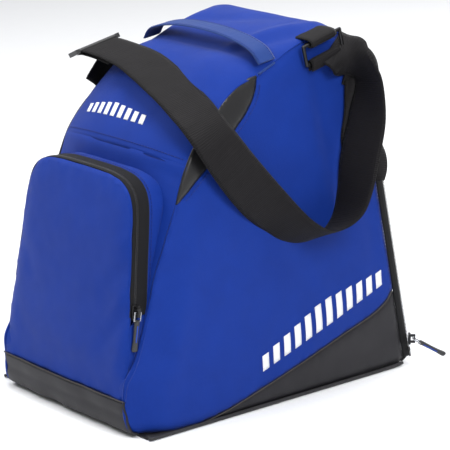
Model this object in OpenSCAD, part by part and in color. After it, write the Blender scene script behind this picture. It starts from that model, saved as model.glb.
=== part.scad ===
// Ski boot bag: a leaning fabric box with a front pocket, a zipped rear door,
// a haul handle, two hanging rings and a shoulder strap slung over the top.
// Millimetres, +Z up, front towards -Y, wearer's strap side towards +X.
// The origin is the middle of the flat underside.

/* [Body] */
// Width of the base, across the two side panels
base_w = 258; // [250:1:266]
// How far each side leans inwards for each millimetre of height
lean = 0.083; // [0.079:0.001:0.087]
// Thickness of the padded panels
panel_t = 2.5; // [2:0.1:3]

/* [Webbing] */
// Width of the shoulder strap
strap_w = 50; // [46:1:51]
// Thickness of one layer of strap webbing
strap_t = 2; // [1.6:0.1:2.2]
// Width of the haul handle
handle_w = 25; // [22:1:27]
// Diameter of the ring wire
ring_wire = 4; // [3.6:0.1:4.2]

/* [Zips] */
// Width of one zip tape beside its coil
tape_w = 6; // [5:0.2:6.4]
// Diameter of the zip coil
coil_d = 2.2; // [1.8:0.1:2.4]
// Length of the webbing tab on each zip puller
tab_l = 31; // [26:1:32]

/* [Hidden] */
$fn = 32;

blue = "#3457b4";
black = "#23262c";
grey = "#7d8087";
handle_blue = "#5a6c9c";

lean_deg = atan(lean);
plate_t = 3;                 // thickness of a side panel with its padding
seam = 0.3;                  // gap left at a seam between two solids
panel_x = plate_t + seam;    // how far inside the side's face a crossing panel ends
zip_line = 9;                // width of the zip strip along the side's rear edge

function half_w(z) = base_w / 2 - lean * z;

// The rear edge of a side is straight from the floor to rear_top, then rounds forwards.
rear_slope = -0.156;
rear_foot = 196;
function rear_y(z) = rear_foot + rear_slope * z;
rear_crown = [[155, 262], [151, 285], [144, 312], [134, 340], [124, 362], [114, 381]];

// Front and top edge of a side, from the foot of the front up to the ridge: [y, z].
front_foot = [[-188, 1], [-198, 9], [-202, 22], [-203, 40]];
front_rise = [[-203, 40], [-201, 62], [-186, 86], [-170, 126], [-157, 169], [-140, 211], [-129, 239]];
shoulder = [[-126, 250], [-121, 263], [-116, 275], [-105, 293], [-89, 311], [-73, 327],
            [-56, 341], [-37, 352], [-12, 359]];
top_edge = [[-2, 363], [24, 376], [49, 386], [75, 393], [95, 396], [112, 389]];

// Rear edge of the shoulder insert, from its lower tip to its upper tip.
insert_rear = [[-119, 246], [-104, 259], [-87, 273], [-52, 302], [-31, 321], [-21, 333], [-15, 345]];
// Upper edge of the black wedge at the foot of a side, front to rear.
wedge_top = [[-117, 1], [-89, 6], [-47, 17], [27, 37], [88, 55], [135, 68], [159, 79], [170, 90]];

// ---------- shared shapes ----------

module mirrored(left) {
    if (left) mirror([1, 0, 0]) children();
    else children();
}

// A flat outline laid in the leaning plane of a side, its outer face off mm proud of it.
module side_plate(outline, t, off = 0) {
    translate([base_w / 2, 0, 0]) rotate([0, -lean_deg, 0]) translate([off - t, 0, 0])
        rotate([90, 0, 90]) linear_extrude(t) polygon(outline);
}

// A closed skin between two equal grids of points, outer[i][j] and inner[i][j].
module skin(outer, inner) {
    m = len(outer);
    n = len(outer[0]);
    pts = [for (g = [outer, inner]) for (row = g) for (p = row) p];
    function at(g, i, j) = g * m * n + i * n + j;
    function quad(a, b, c, d) = [[a, b, c], [a, c, d]];
    faces = [
        for (i = [0 : m - 2]) for (j = [0 : n - 2])
            for (f = concat(quad(at(0, i, j), at(0, i + 1, j), at(0, i + 1, j + 1), at(0, i, j + 1)),
                            quad(at(1, i, j), at(1, i, j + 1), at(1, i + 1, j + 1), at(1, i + 1, j))))
                f,
        for (i = [0 : m - 2])
            for (f = concat(quad(at(0, i, 0), at(1, i, 0), at(1, i + 1, 0), at(0, i + 1, 0)),
                            quad(at(0, i, n - 1), at(0, i + 1, n - 1), at(1, i + 1, n - 1), at(1, i, n - 1))))
                f,
        for (j = [0 : n - 2])
            for (f = concat(quad(at(0, 0, j), at(0, 0, j + 1), at(1, 0, j + 1), at(1, 0, j)),
                            quad(at(0, m - 1, j), at(1, m - 1, j), at(1, m - 1, j + 1), at(0, m - 1, j + 1))))
                f
    ];
    polyhedron(pts, faces);
}

function unit(v) = v / norm(v);

// Outward normal, in the YZ plane, of a run of stations [y, z, ...] at station i.
function run_normal(run, i) =
    let (a = run[max(i - 1, 0)], b = run[min(i + 1, len(run) - 1)])
    unit([a[1] - b[1], b[0] - a[0]]);

// One row of a panel that spans the bag at station i: c is its crown, sunk mm below its face.
function panel_row(run, i, cols, side_gap, sunk) =
    let (s = run[i], n = run_normal(run, i))
    [for (j = [0 : cols])
        let (u = 2 * j / cols - 1, h = s[2] * (1 - pow(abs(u), 2.6)) - sunk)
        [u * (half_w(s[1]) - side_gap), s[0] + h * n[0], s[1] + h * n[1]]];

// A crowned panel that spans the bag along a run of stations [y, z, crown].
module panel(run, t = panel_t, cols = 14, side_gap = panel_x) {
    rows = len(run) - 1;
    skin([for (i = [0 : rows]) panel_row(run, i, cols, side_gap, 0)],
         [for (i = [0 : rows]) panel_row(run, i, cols, side_gap, t)]);
}

// ---------- body panels ----------

module base_panel() {
    color(black) translate([-base_w / 2 + plate_t + 0.6, -186, 0])
        cube([base_w - 2 * plate_t - 1.2, 371, 2.4]);
}

board_t = 3;
module base_board() {
    corner = 24;
    color(grey) translate([0, 0, 2.8]) linear_extrude(board_t)
        hull() for (x = [-1, 1], y = [-1, 1])
            translate([x * (base_w / 2 - 10 - corner), y * (178 - corner)]) circle(corner);
}

module front_base_band() {
    color(black) panel([[-188, 2.6, 0], [-198, 9, 1], [-202, 22, 2], [-203, 39.6, 2]]);
}

module rear_base_band() {
    color(black) panel([[197.6, 11.4, 0], [194, 6.4, 0], [186.6, 2.6, 0]]);
}

side_rear = concat([for (i = [len(rear_crown) - 1 : -1 : 0]) rear_crown[i] - [zip_line, 0]],
                   [for (z = [210, 150, 100]) [rear_y(z) - zip_line, z]]);
module side_panel(left) {
    outline = concat(
        [[-118, 1.6], [-187, 1.6]],
        [for (i = [1 : 3]) front_foot[i]], [for (i = [1 : 6]) front_rise[i]],
        insert_rear, [[-11.4, 358.6]], [for (i = [0 : 4]) top_edge[i]], [[103, 391.6]],
        side_rear,
        [for (i = [len(wedge_top) - 1 : -1 : 1]) wedge_top[i] + [0, seam]]);
    color(blue) mirrored(left) side_plate(outline, plate_t);
}
module side_panel_right() { side_panel(false); }
module side_panel_left() { side_panel(true); }

module side_wedge(left) {
    outline = concat(wedge_top, [for (z = [88, 60, 30, 16]) [rear_y(z) - zip_line, z]],
                     [[184, 6], [176, 1]]);
    color(black) mirrored(left) side_plate(outline, plate_t);
}
module side_wedge_right() { side_wedge(false); }
module side_wedge_left() { side_wedge(true); }

module shoulder_insert(left) {
    outline = concat([[-128.4, 240]], shoulder,
                     [for (i = [len(insert_rear) - 1 : -1 : 0]) insert_rear[i] + [-0.6, 0.8]]);
    color(black) mirrored(left) side_plate(outline, plate_t);
}
module shoulder_insert_right() { shoulder_insert(false); }
module shoulder_insert_left() { shoulder_insert(true); }

// Stations of the front panel behind the pocket: [y, z, crown].
front_run = [[-203, 40.4, -10], [-200, 62, -10], [-186, 86, -8], [-170, 126, -1], [-157, 169, 2],
             [-140, 211, 6], [-128, 241, 11], [-116.6, 274, 19]];
module front_panel() {
    color(blue) panel(front_run);
}

module yoke_panel() {
    crown = [19.5, 21, 22, 22, 21, 20, 17, 14.5, 11, 7.5, 5, 3, 0.6];
    line = concat([[-116, 275.4]], [for (i = [3 : 8]) shoulder[i]], top_edge);
    color(blue) panel([for (i = [0 : len(line) - 1]) [line[i][0], line[i][1], crown[i]]]);
}

// ---------- front pocket ----------

pocket_hinge_z = 128;        // height of the ends of the pocket's zip
pocket_foot_z = 40.4;
face_t = 2.2;
function face_y(z) = -203 + 0.131 * (z - 40);
pocket_straight = -0.095;    // how the pocket narrows with height beside its zip
function pocket_x(z) = 101 + pocket_straight * (z - pocket_hinge_z);

// Right half of the pocket's outline, [x, z]: beside the zip, then round the top corner.
pocket_side = [[109, 40.4], [108.4, 64], [107, 86], [104.4, 108], [101.2, 127.6]];
pocket_arch = concat([for (z = [128.4, 160, 192, 224]) [pocket_x(z), z]],
                     [[88.5, 242], [81, 255], [68, 263.5], [50, 267.6], [26, 269]]);
function mirror_x(list) = [for (i = [len(list) - 1 : -1 : 0]) [-list[i][0], list[i][1]]];
arch = concat(pocket_arch, mirror_x(pocket_arch));

// The pocket's face between two heights is a plate leaning with face_y().
face_deg = atan(0.131);
module face_plate(outline) {
    translate([0, face_y(pocket_hinge_z), pocket_hinge_z]) rotate([90 - face_deg, 0, 0])
        translate([0, 0, -face_t]) linear_extrude(face_t)
            polygon([for (p = outline) [p[0], (p[1] - pocket_hinge_z) / cos(face_deg)]]);
}
module pocket_face_lower() {
    color(blue) face_plate(concat(pocket_side, mirror_x(pocket_side)));
}
module pocket_face_upper() {
    color(blue) face_plate(arch);
}

// A strip that follows a pocket outline, from d0 to d1 behind the face, t thick.
function outline_in(line, i, t) =
    let (a = line[max(i - 1, 0)], b = line[min(i + 1, len(line) - 1)], n = unit([a[1] - b[1], b[0] - a[0]]))
    line[i] + t * n;
function strip_row(line, i, d0, d1, drop) =
    let (p = outline_in(line, i, drop))
    [for (d = [d0, d1]) [p[0], face_y(p[1]) + d, p[1]]];
module pocket_strip(line, d0, d1, t, drop = 0) {
    rows = len(line) - 1;
    skin([for (i = [0 : rows]) strip_row(line, i, d0, d1, drop)],
         [for (i = [0 : rows]) strip_row(line, i, d0, d1, drop + t)]);
}
coil_gap = 0.35;
flap_tape_end = face_t + 0.3 + tape_w - coil_d;
module pocket_zip_tape_flap() {
    color(black) pocket_strip(arch, face_t + 0.1, flap_tape_end, 1.4);
}
module pocket_zip_coil_flap() {
    color(black) pocket_strip(arch, flap_tape_end + 0.1, flap_tape_end + coil_d, 2);
}
body_coil_start = flap_tape_end + coil_d + coil_gap;
module pocket_zip_coil_body() {
    color(black) pocket_strip(arch, body_coil_start, body_coil_start + coil_d, 2);
}
body_tape_end = body_coil_start + coil_d + tape_w;
module pocket_zip_tape_body() {
    color(black) pocket_strip(arch, body_coil_start + coil_d + 0.1, body_tape_end, 1.4);
}
module pocket_zip_stops() {
    color(black) for (side = [0, 1]) mirrored(side == 1)
        translate([pocket_x(pocket_hinge_z) - 2.6, face_y(pocket_hinge_z) + flap_tape_end, pocket_hinge_z - 3.6])
            cube([3, 2 * coil_d, 3]);
}

// The gusset runs from the body tape back to the front panel's face.
function front_y(x, z) =
    let (edge = lookup(z, [for (s = front_run) [s[1], s[0]]]), c = lookup(z, [for (s = front_run) [s[1], s[2]]]))
    edge - c * 0.95 * (1 - pow(min(1, abs(x) / half_w(z)), 2.6));
function gusset_row(i, drop) =
    let (p = outline_in(arch, i, drop), y0 = face_y(p[1]) + body_tape_end + 0.2, y1 = front_y(p[0], p[1]) - 1)
    [[p[0], y0, p[1]], [p[0], max(y0 + 0.6, y1), p[1]]];
module pocket_gusset() {
    last = len(arch) - 1;
    color(blue) skin([for (i = [0 : last]) gusset_row(i, 0)], [for (i = [0 : last]) gusset_row(i, 1.6)]);
}

// ---------- rear zip and door ----------

// A strip standing on the side plane along the rear edge, between two distances in from it.
rear_line = concat([for (z = [24, 80, 150, 220]) [rear_y(z), z]], rear_crown);
module rear_strip(d0, d1, t, off) {
    count = len(rear_line) - 1;
    side_plate(concat([for (i = [0 : count]) rear_line[i] - [d0, 0]],
                      [for (i = [count : -1 : 0]) rear_line[i] - [d1, 0]]), t, off);
}
top_strip_z = 384.5;
// A bar across the bag just behind the ridge, dropped by d below the ridge seam.
module ridge_strip(d, w, t) {
    translate([-half_w(top_strip_z) + panel_x + 0.4, 112.6 + 0.45 * d, 388.2 - d]) rotate([-66, 0, 0])
        cube([2 * (half_w(top_strip_z) - panel_x - 0.4), w, t]);
}
module main_zip_tape_body() {
    color(black) {
        for (side = [0, 1]) mirrored(side == 1) rear_strip(coil_d + 0.3, zip_line - 0.4, 1.6, 0);
        translate([0, 0, -0.4]) ridge_strip(0, 2.6, 1.4);
    }
}
module main_zip_coil_body() {
    color(black) {
        for (side = [0, 1]) mirrored(side == 1) rear_strip(0, coil_d, 2.6, 0.8);
        translate([0, 0, -0.4]) ridge_strip(3, coil_d, 2);
    }
}
module main_zip_stops() {
    color(black) for (side = [0, 1]) mirrored(side == 1)
        side_plate([[193, 15], [196, 15], [195.4, 19], [192.4, 19]], 3, 1);
}

// Door stations from its top down to its hinge at the foot: [y, z, bulge].
door_run = concat([[117.2, 379, 1]],
                  [for (i = [4 : -1 : 1]) [rear_crown[i][0] + 2.4, rear_crown[i][1], 8 - 1.4 * i]],
                  [for (z = [262, 210, 160, 110, 60, 36]) [rear_y(z) + 2.2, z, z > 40 ? 8 : 6]],
                  [[195, 22, 3], [197.4, 14, 0.6]]);
module rear_door_panel() {
    color(blue) panel(door_run, panel_t, 14, panel_x + coil_d + tape_w + 1);
}
// A strip of the door's zip between two distances in from the side's face.
module door_strip(d0, d1, t, lift) {
    last = len(door_run) - 2;
    for (side = [0, 1]) mirrored(side == 1)
        skin([for (i = [1 : last]) let (s = door_run[i], n = run_normal(door_run, i))
                [for (d = [d1, d0]) [half_w(s[1]) - d, s[0] + lift * n[0], s[1] + lift * n[1]]]],
             [for (i = [1 : last]) let (s = door_run[i], n = run_normal(door_run, i))
                [for (d = [d1, d0]) [half_w(s[1]) - d, s[0] + (lift - t) * n[0], s[1] + (lift - t) * n[1]]]]);
}
module main_zip_tape_door() {
    color(black) door_strip(panel_x + coil_d + 0.3, panel_x + coil_d + tape_w + 0.7, 1.4, 0.4);
}
module main_zip_coil_door() {
    color(black) door_strip(panel_x + 0.2, panel_x + coil_d, 2, 0.9);
}

// ---------- sliders and pullers ----------

// A zip slider, its back on the z = 0 plane, zip along x, crossbar along y above it.
bail_pin = 1.4;
bar_h = 5.4;
module slider_body() {
    difference() {
        union() {
            translate([-6, -4.2, 0]) cube([12, 8.4, 2.6]);
            translate([-5, -1.6, 2.4]) cube([2.4, 3.2, 4.4]);
            translate([2.6, -1.6, 2.4]) cube([2.4, 3.2, 4.4]);
            translate([-5, -1.6, 6.6]) cube([10, 3.2, 1.4]);
        }
        translate([-2.6, -3, 2.6]) cube([5.2, 6, 4]);
    }
}
// The wire bail, its crossbar through the slider's bridge at the origin, arms down -x.
module puller_bail() {
    arm = 9;
    half = 4;
    for (y = [-half, half]) translate([0, y, 0]) rotate([0, -90, 0]) cylinder(r = bail_pin / 2, h = arm);
    for (x = [0, -arm]) translate([x, half, 0]) rotate([90, 0, 0]) cylinder(r = bail_pin / 2, h = 2 * half);
    for (x = [0, -arm], y = [-half, half]) translate([x, y, 0]) sphere(r = bail_pin / 2);
}
// The folded webbing tab, hung on the bail's far bar.
module puller_tab() {
    bar_x = -9;
    end_x = bar_x - tab_l;
    difference() {
        union() {
            translate([bar_x, 3, 0]) rotate([90, 0, 0]) cylinder(r = 1.9, h = 6);
            translate([end_x, -3, -1.3]) cube([tab_l, 6, 2.6]);
            translate([end_x - 2, -3.4, -1.6]) cube([8, 6.8, 3.2]);
        }
        translate([bar_x, 4, 0]) rotate([90, 0, 0]) cylinder(r = bail_pin / 2 + 0.15, h = 8);
        translate([bar_x, -4, -0.5]) cube([4, 8, 1]);
    }
}

// Pocket slider, on the right end of the pocket zip, facing +X.
pocket_tape_deg = atan(0.131);
pocket_tape_y = face_y(134) + body_coil_start - coil_gap / 2;
module on_pocket_zip() {
    translate([pocket_x(134), pocket_tape_y, 134]) rotate([-pocket_tape_deg, 0, 0]) children();
}
module pocket_slider() {
    color(black) on_pocket_zip() translate([1, 0, 0]) rotate([0, 90, 0]) rotate([0, 0, 180]) slider_body();
}
module hang_from_pocket() {
    on_pocket_zip() translate([1 + bar_h, 0, 0]) rotate([0, 90, 0]) rotate([0, 0, 180]) children();
}
module pocket_puller_bail() { color(grey) hang_from_pocket() puller_bail(); }
module pocket_puller_tab() { color(black) hang_from_pocket() puller_tab(); }

// Main slider, at the foot of the right rear corner, turned outwards between +X and +Y.
main_turn = 51;
main_slider_at = [128.4, 192, 30];
module on_main_zip() {
    translate(main_slider_at) rotate([0, 0, main_turn]) rotate([0, 90, 0]) rotate([0, 0, 180]) children();
}
module main_slider() { color(black) on_main_zip() slider_body(); }
rest_swing = 62;             // the stiff tab stands this far out from hanging
module hang_from_main() {
    on_main_zip() translate([0, 0, bar_h]) rotate([0, rest_swing, 0]) children();
}
module main_puller_bail() { color(grey) hang_from_main() puller_bail(); }
module main_puller_tab() { color(black) hang_from_main() puller_tab(); }

// ---------- rings ----------

tab_at = [106, 72, 389];
tab_tilt = 15;
slack_drop = 9;              // the left ring hangs slack, this far below the right one
ring_h = 21;
ring_l = 54;
module at_ring(left) {
    mirrored(left) translate(tab_at - [0, 0, left ? slack_drop : 0]) rotate([tab_tilt, 0, 0]) children();
}

// A loop of webbing round a bar that lies along y, with a tail of length l down -z.
module webbing_loop(w, l, wall) {
    difference() {
        union() {
            rotate([90, 0, 0]) cylinder(r = ring_wire / 2 + wall, h = w, center = true);
            translate([-wall, -w / 2, -l]) cube([2 * wall, w, l]);
        }
        rotate([90, 0, 0]) cylinder(r = ring_wire / 2 + 0.15, h = w + 2, center = true);
    }
}
module ring_tab(left) {
    color(black) at_ring(left) difference() {
        union() {
            rotate([90, 0, 0]) cylinder(r = ring_wire / 2 + 1.7, h = 38, center = true);
            translate([-7.7, -19, -0.6]) cube([7.7, 38, 3.4]);
        }
        rotate([90, 0, 0]) cylinder(r = ring_wire / 2 + 0.35, h = 40, center = true);
    }
}
module ring_tab_right() { ring_tab(false); }
module ring_tab_left() { ring_tab(true); }

module ring(left) {
    color(black) at_ring(left) {
        for (z = [0, -ring_h]) translate([0, 0, z]) rotate([90, 0, 0])
            cylinder(r = ring_wire / 2, h = ring_l, center = true);
        for (y = [-1, 1]) translate([0, y * ring_l / 2, -ring_h]) cylinder(r = ring_wire / 2, h = ring_h);
        for (y = [-1, 1], z = [0, -ring_h]) translate([0, y * ring_l / 2, z]) sphere(r = ring_wire / 2);
    }
}
module ring_right() { ring(false); }
module ring_left() { ring(true); }
module ring_loop(left) {
    color(black) at_ring(left) translate([0, 0, -ring_h]) webbing_loop(strap_w - 9, 6, 1.6);
}
module ring_loop_right() { ring_loop(false); }
module ring_loop_left() { ring_loop(true); }

// ---------- shoulder strap ----------

// Stations down the middle of a run of webbing: [place, direction of its width].
outer_run = [
    [[108, 84, 366], [0.1, 0.97, 0.2]],
    [[118.8, 103, 365], [0.72, 0.68, -0.17]],
    [[132.6, 117, 342], [0.99, -0.08, 0]],
    [[135.4, 113.5, 300], [0.98, 0.17, 0]],
    [[136.5, 102, 256], [0.97, 0.24, 0.02]],
    [[138.5, 93.5, 222], [0.97, 0.12, 0.13]],
    [[139, 82, 198], [0.97, 0.02, 0.22]],
    [[139, 61, 184], [0.94, 0, 0.34]],
    [[138, 36, 182], [0.88, 0.12, 0.45]],
    [[136, 12, 192], [0.8, 0.3, 0.52]],
    [[133, -9, 209], [0.7, 0.4, 0.58]],
    [[130, -35, 234], [0.45, 0.62, 0.64]],
    [[126, -63, 267], [0.2, 0.8, 0.56]],
    [[120, -88, 302], [0.05, 0.9, 0.43]],
    [[103, -95, 323], [-0.05, 0.91, 0.4]],
    [[78, -94, 337], [-0.1, 0.92, 0.37]],
    [[47, -90, 349], [-0.15, 0.92, 0.34]],
    [[9, -81, 358], [-0.2, 0.92, 0.32]],
    [[-29, -72, 364], [-0.2, 0.94, 0.28]],
    [[-66, -70, 368], [-0.1, 0.96, 0.22]],
    [[-96, -71, 370], [0, 0.97, 0.2]]];
// The second layer lies along the side, then turns to join the first down the loop.
inner_run = [
    [[106.4, 96, 362], [0.06, 0.97, 0.2]],
    [[106.4, 131, 346], [0.06, 0.99, -0.1]],
    [[107.2, 132, 325], [0.06, 1, 0]],
    [[109, 130, 300], [0.05, 1, 0]],
    [[112, 125, 276], [0.12, 0.99, 0]],
    [[126, 120.5, 251], [0.6, 0.8, 0]],
    [[136, 109, 230], [0.9, 0.43, 0.1]]];
tail_gap = 4;                // how far under the strap its tail lies
tail_from = 56 / 3;          // station where the tail ends, on its way back from the buckle
right_clear = 4 / 3;         // stations left free beside the right ring's loop
left_clear = 1;              // stations left free beside the left ring's loop
far_run = [
    [[-106, -68, 352], [0, 0.93, 0.35]],
    [[-108.5, -52, 340], [-0.03, 0.88, 0.46]],
    [[-111, -36, 316], [-0.08, 0.82, 0.55]],
    [[-116, -16, 286], [-0.25, 0.78, 0.55]],
    [[-126, 10, 256], [-0.55, 0.6, 0.45]],
    [[-136, 40, 238], [-0.88, 0.2, 0.3]],
    [[-139, 68, 240], [-0.97, 0, 0.2]],
    [[-138, 92, 264], [-0.96, 0.2, 0.05]],
    [[-132, 106, 300], [-0.93, 0.35, 0]],
    [[-123, 100, 334], [-0.75, 0.65, 0.1]],
    [[-108, 84, 347], [-0.2, 0.95, 0.25]]];

// A point part way from station b to station c of a smooth curve through a, b, c and d.
function smooth(a, b, c, d, t) =
    0.5 * ((2 * b) + (c - a) * t + (2 * a - 5 * b + 4 * c - d) * t * t + (3 * b - a - 3 * c + d) * t * t * t);
function station(run, k) =
    let (last = len(run) - 1, i = min(floor(k), last - 1), t = k - i)
    [for (f = [0, 1]) smooth(run[max(i - 1, 0)][f], run[i][f], run[i + 1][f], run[min(i + 2, last)][f], t)];
function ribbon_frame(run, k) =
    let (last = len(run) - 1, p = station(run, k)[0],
         ahead = unit(station(run, min(k + 0.05, last))[0] - station(run, max(k - 0.05, 0))[0]),
         w0 = station(run, k)[1], w = unit(w0 - ahead * (w0 * ahead)))
    [p, w, cross(ahead, w)];
// Webbing from station k0 to k1, lifted towards its facing side, steps rows to a station.
module ribbon(run, width, t, k0, k1, lift = 0, steps = 3) {
    rows = round((k1 - k0) * steps);
    function row(i, h) =
        let (f = ribbon_frame(run, k0 + i / steps))
        [for (s = [-0.5, 0, 0.5]) f[0] + f[1] * (s * width) + f[2] * (h + lift)];
    skin([for (i = [0 : rows]) row(i, t / 2)], [for (i = [0 : rows]) row(i, -t / 2)]);
}
module strap_outer_run() {
    color(black) ribbon(outer_run, strap_w, strap_t, right_clear, len(outer_run) - 1);
}
module strap_inner_run() {
    color(black) ribbon(inner_run, strap_w - 1, strap_t, 1, len(inner_run) - 1);
}
module strap_tail() {
    color(black) ribbon(outer_run, strap_w - 1, strap_t, tail_from, len(outer_run) - 1, tail_gap);
}
module strap_far_run() {
    color(black) ribbon(far_run, strap_w, strap_t, 0, len(far_run) - 1 - left_clear);
}
// The ladder buckle that sets the strap's length, lying across the webbing.
module strap_triglide() {
    bar = 5;
    wide = strap_w + 14;
    color(black) translate([-107.4, -71, 368]) rotate([12, 0, 0]) rotate([0, -24, 0]) {
        for (x = [-6, 0, 6]) translate([x, 0, 0]) rotate([90, 0, 0])
            cylinder(r = bar / 2 - (x == 0 ? 0.8 : 0), h = wide - 8, center = true);
        for (y = [-1, 1]) translate([-8.4, y * (wide / 2 - 4) - 2.5, -2.5]) cube([16.8, 5, 5]);
    }
}

// ---------- haul handle ----------

// Right half of the arch, [x, y, z], from its end to its middle.
handle_half = [[97, 2, 371.5], [86, 0, 383], [66, -1, 390], [40, -3, 395], [14, -4, 397]];
handle_line = concat(handle_half, [for (i = [len(handle_half) - 1 : -1 : 0])
                                     [-handle_half[i][0], handle_half[i][1], handle_half[i][2]]]);
module haul_handle() {
    stations = [for (p = handle_line) [p, [0, 0.99, 0.12]]];
    color(handle_blue) ribbon(stations, handle_w, 2.4, 0, len(stations) - 1);
}
module handle_anchors() {
    color(black) for (side = [0, 1]) mirrored(side == 1)
        side_plate([[-10, 352], [14, 363.4], [14, 368], [-10, 357]], 1.2, 1.6);
}

// ---------- piping ----------

module piping(left) {
    line = [[-186, 3], [-120, 2.4], [0, 2.4], [120, 2.4], [182, 3.4]];
    color(grey) mirrored(left)
        skin([for (p = line) [[base_w / 2 + 2.2, p[0], p[1] + 1.8], [base_w / 2 + 2.2, p[0], p[1] - 1.8]]],
             [for (p = line) [[base_w / 2 + 0.3, p[0], p[1] + 1.8], [base_w / 2 + 0.3, p[0], p[1] - 1.8]]]);
}
module piping_right() { piping(false); }
module piping_left() { piping(true); }

// ---------- nodes ----------

base_panel();
base_board();
front_base_band();
rear_base_band();
side_panel_right();
side_panel_left();
side_wedge_right();
side_wedge_left();
shoulder_insert_right();
shoulder_insert_left();
front_panel();
yoke_panel();
pocket_face_lower();
pocket_gusset();
pocket_zip_tape_body();
pocket_zip_coil_body();
pocket_zip_stops();
main_zip_tape_body();
main_zip_coil_body();
main_zip_stops();
piping_right();
piping_left();
ring_tab_right();
ring_tab_left();
handle_anchors();
rear_door_panel();
main_zip_tape_door();
main_zip_coil_door();
main_slider();
main_puller_bail();
main_puller_tab();
pocket_face_upper();
pocket_zip_tape_flap();
pocket_zip_coil_flap();
pocket_slider();
pocket_puller_bail();
pocket_puller_tab();
ring_right();
ring_loop_right();
ring_left();
ring_loop_left();
strap_outer_run();
strap_inner_run();
strap_tail();
strap_far_run();
strap_triglide();
haul_handle();
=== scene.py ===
import math

import bpy
import numpy as np
from mathutils import Matrix, Vector, noise
from mathutils.geometry import delaunay_2d_cdt


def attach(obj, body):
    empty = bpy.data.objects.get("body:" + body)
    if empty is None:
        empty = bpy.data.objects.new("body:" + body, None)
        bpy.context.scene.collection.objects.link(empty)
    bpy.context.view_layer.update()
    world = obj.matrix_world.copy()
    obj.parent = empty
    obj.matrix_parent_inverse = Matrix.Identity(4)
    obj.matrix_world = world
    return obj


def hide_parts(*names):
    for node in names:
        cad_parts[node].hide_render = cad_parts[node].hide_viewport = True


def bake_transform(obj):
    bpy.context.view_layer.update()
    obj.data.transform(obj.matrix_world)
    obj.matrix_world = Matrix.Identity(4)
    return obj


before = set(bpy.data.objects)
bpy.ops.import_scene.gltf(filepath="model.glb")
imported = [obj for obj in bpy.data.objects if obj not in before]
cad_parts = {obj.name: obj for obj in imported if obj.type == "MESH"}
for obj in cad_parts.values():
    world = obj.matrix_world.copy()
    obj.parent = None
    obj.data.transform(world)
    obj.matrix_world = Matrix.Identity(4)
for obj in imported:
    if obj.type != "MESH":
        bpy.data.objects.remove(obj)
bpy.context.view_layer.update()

MM = 0.001  # lengths below are in millimetres, as in the CAD source; meshes are stored in metres

# ---------------------------------------------------------------- camera, light and floor


CAMERA_AZIMUTH = math.radians(49.51)
CAMERA_ELEVATION = math.radians(15.58)
CAMERA_TARGET = Vector((0.0314, 0.0, 0.1786))
CAMERA_DISTANCE = 2.4207
CAMERA_LENS = 176

def make_camera():
    data = bpy.data.cameras.new("camera")
    data.lens = CAMERA_LENS
    data.sensor_width = 36
    azimuth, elevation = CAMERA_AZIMUTH, CAMERA_ELEVATION
    back = Vector((math.sin(azimuth) * math.cos(elevation),
                   -math.cos(azimuth) * math.cos(elevation), math.sin(elevation)))
    camera = bpy.data.objects.new("camera", data)
    camera.location = CAMERA_TARGET + CAMERA_DISTANCE * back
    camera.rotation_mode = "QUATERNION"
    camera.rotation_quaternion = back.to_track_quat("Z", "Y")
    bpy.context.scene.collection.objects.link(camera)
    bpy.context.scene.camera = camera


def area_light(name, place, target, size, power):
    data = bpy.data.lights.new(name, "AREA")
    data.shape = "DISK"
    data.size = size
    data.energy = power
    light = bpy.data.objects.new(name, data)
    light.location = place
    aim = Vector(place) - Vector(target)
    light.rotation_mode = "QUATERNION"
    light.rotation_quaternion = aim.to_track_quat("Z", "Y")
    bpy.context.scene.collection.objects.link(light)


def make_studio():
    area_light("key_softbox", (-0.75, -0.9, 1.25), (-0.08, -0.1, 0.32), 0.8, 15)
    area_light("side_softbox", (1.5, -0.35, 1.3), (0.1, 0.05, 0.27), 0.8, 24)
    area_light("top_softbox", (0.1, 0.2, 2.6), (0, 0, 0.2), 2.2, 60)
    area_light("back_softbox", (-0.6, 2.4, 1.6), (0, 0, 0.2), 1.6, 26)
    world = bpy.data.worlds.new("studio")
    world.use_nodes = True
    background = world.node_tree.nodes["Background"]
    background.inputs["Color"].default_value = (1.0, 1.0, 1.0, 1)
    background.inputs["Strength"].default_value = 0.5
    bpy.context.scene.world = world
    bpy.context.scene.view_settings.view_transform = "Standard"


# ---------------------------------------------------------------- materials


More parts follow.
